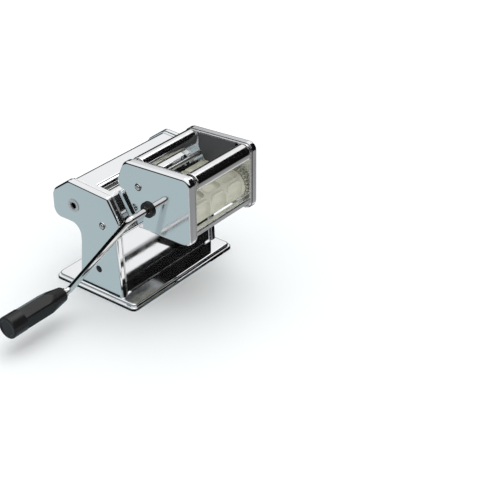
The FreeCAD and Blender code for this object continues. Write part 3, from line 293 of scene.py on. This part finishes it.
def outlineRuns(corners):
    # places (y, z) along the outline, each with the direction (y, z) that points out of it
    runs = []
    count = len(corners)
    area = sum(a[0] * b[1] - b[0] * a[1] for a, b in zip(corners, corners[1:] + corners[:1]))
    leftIsOut = -1.0 if area > 0 else 1.0
    for i, (y, z, r) in enumerate(corners):
        here = Vector((y, z))
        u = (here - Vector(corners[i - 1][:2])).normalized()
        v = (Vector(corners[(i + 1) % count][:2]) - here).normalized()
        leftU, leftV = Vector((-u.y, u.x)), Vector((-v.y, v.x))
        if r <= 0:
            runs += [(here, leftU * leftIsOut), (here, leftV * leftIsOut)]
            continue
        turn = math.atan2(u.x * v.y - u.y * v.x, u.dot(v))
        side = -1.0 if turn < 0 else 1.0
        start = here - u * r * math.tan(abs(turn) / 2)
        centre = start + leftU * side * r
        for k in range(bead["cornerSteps"] + 1):
            a = turn * k / bead["cornerSteps"]
            left = Vector((leftU.x * math.cos(a) - leftU.y * math.sin(a),
                           leftU.x * math.sin(a) + leftU.y * math.cos(a)))
            runs.append((centre - left * side * r, left * leftIsOut))
    return runs


def addRimBeads(name, rim):
    bm = bmesh.new()
    runs = outlineRuns(rim["corners"])
    for side in (-1, 1):
        start, out = runs[0]
        centre = start - out * bead["inset"]
        centre = Vector((side * (rim["rimX"] - bead["radius"]), centre.x, centre.y)) * mm
        made = bmesh.ops.create_circle(bm, segments=bead["sides"], radius=bead["radius"] * mm)["verts"]
        edges = list({e for v in made for e in v.link_edges})
        lean = Matrix(((1, 0, 0), (0, out.x, -out.y), (0, out.y, out.x)))
        bmesh.ops.rotate(bm, cent=(0, 0, 0), matrix=lean, verts=made)
        bmesh.ops.translate(bm, vec=centre, verts=made)
        for after, outAfter in runs[1:] + runs[:1]:
            turn = math.atan2(out.x * outAfter.y - out.y * outAfter.x, out.dot(outAfter))
            move = (after - outAfter * bead["inset"]) - (start - out * bead["inset"])
            if abs(turn) < 1e-5 and move.length < 1e-5:
                continue
            swept = bmesh.ops.extrude_edge_only(bm, edges=edges)["geom"]
            verts = [v for v in swept if isinstance(v, bmesh.types.BMVert)]
            edges = [e for e in swept if isinstance(e, bmesh.types.BMEdge)]
            bmesh.ops.rotate(bm, cent=centre, matrix=Matrix.Rotation(turn, 3, "X"), verts=verts)
            step = Vector((0, move.x, move.y)) * mm
            bmesh.ops.translate(bm, vec=step, verts=verts)
            start, out, centre = after, outAfter, centre + step
    bmesh.ops.remove_doubles(bm, verts=bm.verts, dist=1e-6)
    if rim["floorZ"] > 0:
        cut = bmesh.ops.bisect_plane(bm, geom=bm.verts[:] + bm.edges[:] + bm.faces[:], dist=1e-7,
                                     plane_co=(0, 0, rim["floorZ"] * mm), plane_no=(0, 0, -1),
                                     clear_outer=True)
        ends = [e for e in cut["geom_cut"] if isinstance(e, bmesh.types.BMEdge)]
        bmesh.ops.holes_fill(bm, edges=ends, sides=0)
    beads = addPiece(name, finishTurning(bm), "blackPaintAndShade", rim["body"], (), 40)
    beads.visible_glossy = False


for name, rim in rims.items():
    addRimBeads(name, rim)


# grip: a long cone, six flats that end in a shoulder, a rounded end round the recessed cap
grip = {"spot": (-6.703, 33.493), "neckX": -150.5, "endX": -237.0, "neckR": 8.8, "coneLen": 27.5,
        "coneR": 13.4, "endR": 13.6, "boreR": 4.1, "capR": 9.4, "capDepth": 8.0, "capPlay": 0.02,
        "flat": 12.1, "flatFrom": -170.2, "flatTo": -216.6,
        "neckRound": [(0.0, 1.0), (0.18, 0.5), (0.6, 0.1)],
        "endRound": [(1.5, 0.0), (0.85, 0.16), (0.3, 0.6), (0.05, 1.2), (0.0, 1.7)],
        "lipRound": [(0.0, 0.5), (0.12, 0.15), (0.5, 0.02)]}


def addGrip():
    g = grip
    bm = bmesh.new()
    slope = (g["coneR"] - g["neckR"]) / g["coneLen"]
    coneEnd = g["neckX"] - g["coneLen"]
    swell = (g["endR"] - g["coneR"]) / (coneEnd - g["endX"])

    def radius(x):
        return g["neckR"] + slope * (g["neckX"] - x) if x > coneEnd else g["coneR"] + swell * (coneEnd - x)
    outer = [g["neckX"] - 1.2 - k for k in range(0, 19)]
    outer += [g["flatFrom"] - 2.0 - 2.0 * k for k in range(0, 23)] + [g["flatTo"], g["flatTo"] - 0.35]
    outer += [g["flatTo"] - 2.0 - 2.0 * k for k in range(0, 8)]
    outer = sorted(set(round(x, 3) for x in outer), reverse=True)
    profile = [(g["neckX"], g["boreR"])]
    profile += [(g["neckX"] - along, g["neckR"] - inward) for along, inward in g["neckRound"]]
    profile += [(x, radius(x)) for x in outer if x > g["endX"] + 1.7]
    end = g["endX"]
    profile += [(end + along, g["endR"] - inward) for along, inward in g["endRound"]]
    profile += [(end + along, g["capR"] + outward) for along, outward in g["lipRound"]]
    profile += [(end + g["capDepth"], g["capR"] + g["capPlay"]), (end + g["capDepth"], g["boreR"])]
    turnProfile(bm, profile, g["spot"], 144, closed=True)
    for vert in bm.verts:
        x, y, z = vert.co.x / mm, vert.co.y / mm - g["spot"][0], vert.co.z / mm - g["spot"][1]
        if not g["flatTo"] - 0.05 < x < g["flatFrom"] + 0.6 or math.hypot(y, z) < 10.0:
            continue
        for k in range(6):
            lean = math.radians(30 + 60 * k)
            normal = (math.sin(lean), math.cos(lean))
            over = y * normal[0] + z * normal[1] - g["flat"]
            if over > 0:
                vert.co.y -= over * normal[0] * mm
                vert.co.z -= over * normal[1] * mm
    piece = addPiece("crankGrip", finishTurning(bm), "blackGloss", "grip",
                     ("crank_grip",), 19)
    piece.visible_glossy = False


addGrip()


# mould rollers: square pockets, each with a toothed sealing rim, on a lower land
mould = {"radius": 18.6, "half": 46.5, "pitchX": 29.5, "pocket": 23.5, "corner": 5.0, "depth": 5.5,
         "wall": 3.4, "rim": 0.9, "tooth": 1.1, "toothPitch": 2.35, "land": 0.7, "landRound": 0.45,
         "endRim": 1.3, "faceShrink": 0.62, "faceDish": 0.4, "alongX": 250, "around": 300}
mouldPlaces = {
    "rearMould": {"spot": (-65.0, 125.0), "body": "rear_mould", "node": "rear_mould_roller",
                  "left": [(-46.0, 7.0), (-63.2, 7.0), (-63.2, 4.05), (-41.2, 4.05), (-41.2, 0.0)],
                  "right": [(46.0, 5.0), (56.7, 5.0), (57.1, 4.6), (57.1, 0.0)]},
    "frontMould": {"spot": (-102.5, 125.0), "body": "front_mould", "node": "front_mould_roller",
                   "left": [(-46.0, 5.0), (-56.7, 5.0), (-57.1, 4.6), (-57.1, 0.0)],
                   "right": [(46.0, 5.0), (56.7, 5.0), (57.1, 4.6), (57.1, 0.0)]}}


def mouldDepth(x, angle):
    # how far the surface lies under the roller's full radius, in mm
    m = mould
    u = x - m["pitchX"] * max(-1, min(1, round(x / m["pitchX"])))
    quarter = (angle + math.pi / 4) % (math.pi / 2) - math.pi / 4
    v = quarter * m["radius"]
    core = m["pocket"] / 2 - m["corner"]
    du, dv = abs(u) - core, abs(v) - core
    edge = math.hypot(max(du, 0), max(dv, 0)) + min(max(du, dv), 0) - m["corner"]
    if edge <= 0:
        share = min(-edge / m["wall"], 1.0)
        return m["depth"] * math.sqrt(1.0 - (1.0 - share) ** 2)
    along = v if abs(u) > abs(v) else u
    tooth = abs((along / m["toothPitch"]) % 1.0 - 0.5) * 2.0
    past = (edge - m["rim"] - m["tooth"] * tooth) / m["landRound"]
    lower = m["land"] * max(0.0, min(1.0, past))
    if abs(x) > m["half"] - m["endRim"]:
        lower = 0.0
    return lower


def addMould(name, place):
    m = mould
    bm = bmesh.new()
    bmesh.ops.create_grid(bm, x_segments=m["alongX"], y_segments=m["around"], size=1.0)
    for vert in bm.verts:
        x, angle = vert.co.x * m["half"], vert.co.y * math.pi
        r = m["radius"] - mouldDepth(x, angle)
        vert.co = (x * mm, (place["spot"][0] + r * math.cos(angle)) * mm,
                   (place["spot"][1] + r * math.sin(angle)) * mm)
    bmesh.ops.remove_doubles(bm, verts=bm.verts, dist=1e-6)
    ends = [e for e in bm.edges if e.is_boundary]
    centre = Vector((0, place["spot"][0] * mm, place["spot"][1] * mm))
    for side in (-1, 1):
        ring = [e for e in ends if e.verts[0].co.x * side > 0]
        lip = bmesh.ops.extrude_edge_only(bm, edges=ring)
        inner = [v for v in lip["geom"] if isinstance(v, bmesh.types.BMVert)]
        for vert in inner:
            away = vert.co - centre
            away.x = 0
            vert.co -= away * m["faceShrink"]
            vert.co.x -= side * m["faceDish"] * mm
        bmesh.ops.contextual_create(bm, geom=[e for e in lip["geom"] if isinstance(e, bmesh.types.BMEdge)])
    turnProfile(bm, place["left"], place["spot"], 40)
    turnProfile(bm, place["right"], place["spot"], 40)
    addPiece(name, finishTurning(bm), "mouldIvory", place["body"], (place["node"],), 30)


for name, place in mouldPlaces.items():
    addMould(name, place)


# plain numbers on the thickness knob's skirt, and the pointer on the cover above it
dial = {"spot": (-24.0, 111.5), "faceX": 95.03, "numberR": 16.15, "numberSize": 3.1, "step": 45.0, "count": 7,
        "numberLift": 0.04, "markX": 89.02, "markR": 22.0, "markSize": 1.7, "markTaper": 0.8,
        "markThick": 0.3}


def addDial():
    d = dial
    bm = bmesh.new()
    upright = Matrix(((0, 0, 1, 0), (1, 0, 0, 0), (0, 1, 0, 0), (0, 0, 0, 1)))
    for k in range(d["count"]):
        curve = bpy.data.curves.new("number", "FONT")
        curve.body = str(k)
        curve.size = d["numberSize"] * mm
        curve.align_x = "CENTER"
        curve.align_y = "CENTER"
        curve.extrude = d["numberLift"] * mm
        flat = bpy.data.objects.new("number", curve)
        shape = bpy.data.meshes.new_from_object(flat)
        lean = math.radians(d["step"] * k)
        place = Matrix.Translation((d["faceX"] * mm, (d["spot"][0] + d["numberR"] * math.sin(lean)) * mm,
                                    (d["spot"][1] + d["numberR"] * math.cos(lean)) * mm))
        shape.transform(place @ Matrix.Rotation(-lean, 4, "X") @ upright)
        bm.from_mesh(shape)
        bpy.data.objects.remove(flat)
        bpy.data.curves.remove(curve)
        bpy.data.meshes.remove(shape)
    addPiece("knobNumbers", bm, "whiteMark", "knob")
    mark = bmesh.new()
    bmesh.ops.create_cone(mark, cap_ends=True, segments=3, radius1=d["markSize"] * mm,
                          radius2=d["markSize"] * d["markTaper"] * mm, depth=d["markThick"] * mm)
    bmesh.ops.rotate(mark, cent=(0, 0, 0), matrix=Matrix.Rotation(math.pi / 2, 3, "Y"), verts=mark.verts)
    lowest = min(mark.verts, key=lambda v: v.co.z)
    turn = math.atan2(lowest.co.y, -lowest.co.z)
    bmesh.ops.rotate(mark, cent=(0, 0, 0), matrix=Matrix.Rotation(-turn, 3, "X"), verts=mark.verts)
    bmesh.ops.translate(mark, vec=(d["markX"] * mm, d["spot"][0] * mm, (d["spot"][1] + d["markR"]) * mm),
                        verts=mark.verts)
    addPiece("dialPointer", finishTurning(mark), "darkPlasticAndShade", "machine")


addDial()

# the photo's chrome doesn't mirror these neighbours, so mirrors don't show them here either
unmirrored = ["left_side_cover", "left_frame_pan", "rear_hood", "front_panel", "grip_end_cap", "tie_rods",
              "gap_blocks", "gap_shaft", "dough_scrapers", "driven_roller", "driven_roller_gear",
              "drive_roller_gear", "dough_slide", "right_frame_pan", "right_side_cover"]
for name in unmirrored:
    nodes[name].visible_glossy = False
print("pieces made")


# ---- studio: pale floor, soft light, and what the chrome reflects
studio = {"floorSize": 8.0, "floorColour": (0.938, 0.962, 0.972), "skyLevel": 0.85,
          "sunPlace": (0.5, 0.1, 1.6), "sunAngle": 50.0, "sunPower": 0.9,
          "floorRough": 0.9, "floorMirror": (0.46, 0.56, 0.585), "mirrorFade": (0.50, 0.95),
          "darkest": 0.004, "leastShade": 0.02, "leastFar": 0.01,
          "stripes": [(-0.300, 0.30), (-0.170, 0.42), (-0.155, 1.0), (-0.1195, 1.0), (-0.1180, 0.45),
                      (-0.1145, 0.45), (-0.1135, 0.008), (-0.104, 0.008), (-0.103, 1.0), (-0.083, 1.0),
                      (-0.082, 0.01), (-0.066, 0.01)],
          "whiteUpToX": 0.05, "whiteFromY": -0.112, "rimShade": (-0.1015, -0.090, 0.073)}
walls = {"darkBand": {"segments": 96, "radius": 3.4, "height": 2.4, "dark": 1.10, "pale": 1.90},
         "darkCard": {"segments": 72, "radius": 2.6, "height": 3.1, "from": -80.0, "to": -10.0}}


def makeFloor():
    bm = bmesh.new()
    bmesh.ops.create_grid(bm, x_segments=1, y_segments=1, size=studio["floorSize"] / 2)
    mesh = bpy.data.meshes.new("floor")
    bm.to_mesh(mesh)
    bm.free()
    floor = bpy.data.objects.new("floor", mesh)
    scene.collection.objects.link(floor)
    material = bpy.data.materials.new("floor")
    material.use_nodes = True
    tree = material.node_tree
    make = tree.nodes.new
    link = tree.links.new
    shader = tree.nodes["Principled BSDF"]
    shader.inputs["Base Color"].default_value = (*studio["floorColour"], 1)
    shader.inputs["Roughness"].default_value = studio["floorRough"]
    shader.inputs["Specular IOR Level"].default_value = 0.0
    # painted reflection, seen only by mirror rays: the table glows a pale blue grey, with painted dark and
    # white strips in front of the machine, painted shade by the base's rim, near black on the right close to
    # the machine, and fading with distance
    place = make("ShaderNodeTexCoord")
    axes = make("ShaderNodeSeparateXYZ")
    link(place.outputs["Object"], axes.inputs["Vector"])
    x, y = axes.outputs["X"], axes.outputs["Y"]
    low, high = studio["stripes"][0][0], studio["stripes"][-1][0]
    span = make("ShaderNodeMapRange")
    span.inputs["From Min"].default_value = low
    span.inputs["From Max"].default_value = high
    link(y, span.inputs["Value"])
    ramp = make("ShaderNodeValToRGB")
    for index, (stripeY, level) in enumerate(studio["stripes"]):
        spot = (stripeY - low) / (high - low)
        stop = ramp.color_ramp.elements[index] if index < 2 else ramp.color_ramp.elements.new(spot)
        stop.position = spot
        stop.color = (level, level, level, 1)
    link(span.outputs["Result"], ramp.inputs["Fac"])

    def compare(operation, source, value):
        test = make("ShaderNodeMath")
        test.operation = operation
        link(source, test.inputs[0])
        if isinstance(value, float):
            test.inputs[1].default_value = value
        else:
            link(value, test.inputs[1])
        return test.outputs[0]
    front = compare("LESS_THAN", y, high)
    leftPart = compare("LESS_THAN", x, studio["whiteUpToX"])
    farPart = compare("LESS_THAN", y, studio["whiteFromY"])
    bright = compare("MAXIMUM", leftPart, farPart)
    wide = compare("MULTIPLY", compare("GREATER_THAN", x, studio["rimShade"][0]),
                   compare("LESS_THAN", x, studio["rimShade"][1]))
    deep = compare("LESS_THAN", compare("ABSOLUTE", y, 0.0), studio["rimShade"][2])
    clear = compare("SUBTRACT", bright, compare("MULTIPLY", wide, deep))
    clear = compare("MAXIMUM", clear, studio["leastShade"])
    distance = make("ShaderNodeVectorMath")
    distance.operation = "LENGTH"
    link(place.outputs["Object"], distance.inputs[0])
    fade = make("ShaderNodeMapRange")
    fade.interpolation_type = "SMOOTHSTEP"
    fade.inputs["From Min"].default_value = studio["mirrorFade"][0]
    fade.inputs["From Max"].default_value = studio["mirrorFade"][1]
    fade.inputs["To Min"].default_value = 1.0
    fade.inputs["To Max"].default_value = studio["leastFar"]
    link(distance.outputs["Value"], fade.inputs["Value"])
    clear = compare("MULTIPLY", clear, fade.outputs["Result"])
    tint = make("ShaderNodeMix")
    tint.data_type = "RGBA"
    colourIn = [c for c in tint.inputs if c.type == "RGBA"]
    colourIn[0].default_value = (*studio["floorMirror"], 1)
    link(ramp.outputs["Color"], colourIn[1])
    link(front, tint.inputs["Factor"])
    mirror = make("ShaderNodeEmission")
    link([c for c in tint.outputs if c.type == "RGBA"][0], mirror.inputs["Color"])
    link(clear, mirror.inputs["Strength"])
    rays = make("ShaderNodeLightPath")
    choose = make("ShaderNodeMixShader")
    link(rays.outputs["Is Glossy Ray"], choose.inputs["Fac"])
    link(shader.outputs[0], choose.inputs[1])
    link(mirror.outputs[0], choose.inputs[2])
    link(choose.outputs[0], tree.nodes["Material Output"].inputs["Surface"])
    mesh.materials.append(material)


def makeWall(wall):
    bm = bmesh.new()
    bmesh.ops.create_cone(bm, cap_ends=False, segments=wall["segments"], radius1=wall["radius"],
                          radius2=wall["radius"], depth=wall["height"])
    bmesh.ops.translate(bm, verts=bm.verts, vec=(0, 0, wall["height"] / 2))
    return bm


def addWall(name, bm):
    # seen only in mirrors: gives its node tree and the emission node, dark until something else drives it
    mesh = bpy.data.meshes.new(name)
    bm.to_mesh(mesh)
    bm.free()
    wall = bpy.data.objects.new(name, mesh)
    scene.collection.objects.link(wall)
    material = bpy.data.materials.new(name)
    material.use_nodes = True
    tree = material.node_tree
    tree.nodes.remove(tree.nodes["Principled BSDF"])
    glow = tree.nodes.new("ShaderNodeEmission")
    glow.inputs["Color"].default_value = (*[studio["darkest"]] * 3, 1)
    tree.links.new(glow.outputs[0], tree.nodes["Material Output"].inputs["Surface"])
    mesh.materials.append(material)
    wall.visible_camera = False
    wall.visible_diffuse = False
    wall.visible_shadow = False
    wall.visible_transmission = False
    return tree, glow


def makeDarkBand():
    # painted reflection, seen only in mirrors: a band round the set, black low and glowing pale above: it
    # draws the dark lines along the chrome's edges
    band = walls["darkBand"]
    tree, glow = addWall("darkBand", makeWall(band))
    place = tree.nodes.new("ShaderNodeTexCoord")
    axes = tree.nodes.new("ShaderNodeSeparateXYZ")
    fade = tree.nodes.new("ShaderNodeMapRange")
    fade.interpolation_type = "SMOOTHSTEP"
    fade.inputs["From Min"].default_value = band["dark"]
    fade.inputs["From Max"].default_value = band["pale"]
    fade.inputs["To Min"].default_value = studio["darkest"]
    fade.inputs["To Max"].default_value = 1.0
    tree.links.new(place.outputs["Object"], axes.inputs["Vector"])
    tree.links.new(axes.outputs["Z"], fade.inputs["Value"])
    tree.links.new(fade.outputs["Result"], glow.inputs["Color"])


def makeDarkCard():
    # painted reflection, seen only in mirrors: a black card at the front right that the slanted front and the
    # deck show
    card = walls["darkCard"]
    bm = makeWall(card)
    outside = []
    for face in bm.faces:
        middle = face.calc_center_median()
        if not card["from"] < math.degrees(math.atan2(middle.y, middle.x)) < card["to"]:
            outside.append(face)
    bmesh.ops.delete(bm, geom=outside, context="FACES")
    addWall("darkCard", bm)


makeFloor()
makeDarkBand()
makeDarkCard()
sunData = bpy.data.lights.new("sun", "SUN")
sunData.angle = math.radians(studio["sunAngle"])
sunData.energy = studio["sunPower"]
sun = bpy.data.objects.new("sun", sunData)
sun.rotation_mode = "QUATERNION"
sun.rotation_quaternion = (-Vector(studio["sunPlace"])).to_track_quat("-Z", "Y")
scene.collection.objects.link(sun)

world = bpy.data.worlds.new("studio")
scene.world = world
world.use_nodes = True
sky = world.node_tree
sky.nodes.clear()
skyOut = sky.nodes.new("ShaderNodeOutputWorld")
seen = sky.nodes.new("ShaderNodeBackground")
seen.inputs["Strength"].default_value = 1.0
seen.inputs["Color"].default_value = (1, 1, 1, 1)
lit = sky.nodes.new("ShaderNodeBackground")
lit.inputs["Color"].default_value = (1, 1, 1, 1)
lit.inputs["Strength"].default_value = studio["skyLevel"]
rays = sky.nodes.new("ShaderNodeLightPath")


def anyRay(first, second):
    either = sky.nodes.new("ShaderNodeMath")
    either.operation = "MAXIMUM"
    sky.links.new(first, either.inputs[0])
    sky.links.new(second, either.inputs[1])
    return either.outputs[0]


direct = anyRay(rays.outputs["Is Camera Ray"], rays.outputs["Is Glossy Ray"])
blend = sky.nodes.new("ShaderNodeMixShader")
sky.links.new(anyRay(direct, rays.outputs["Is Transmission Ray"]), blend.inputs["Fac"])
sky.links.new(lit.outputs[0], blend.inputs[1])
sky.links.new(seen.outputs[0], blend.inputs[2])
sky.links.new(blend.outputs[0], skyOut.inputs["Surface"])
scene.view_settings.view_transform = "Standard"
print("studio made")
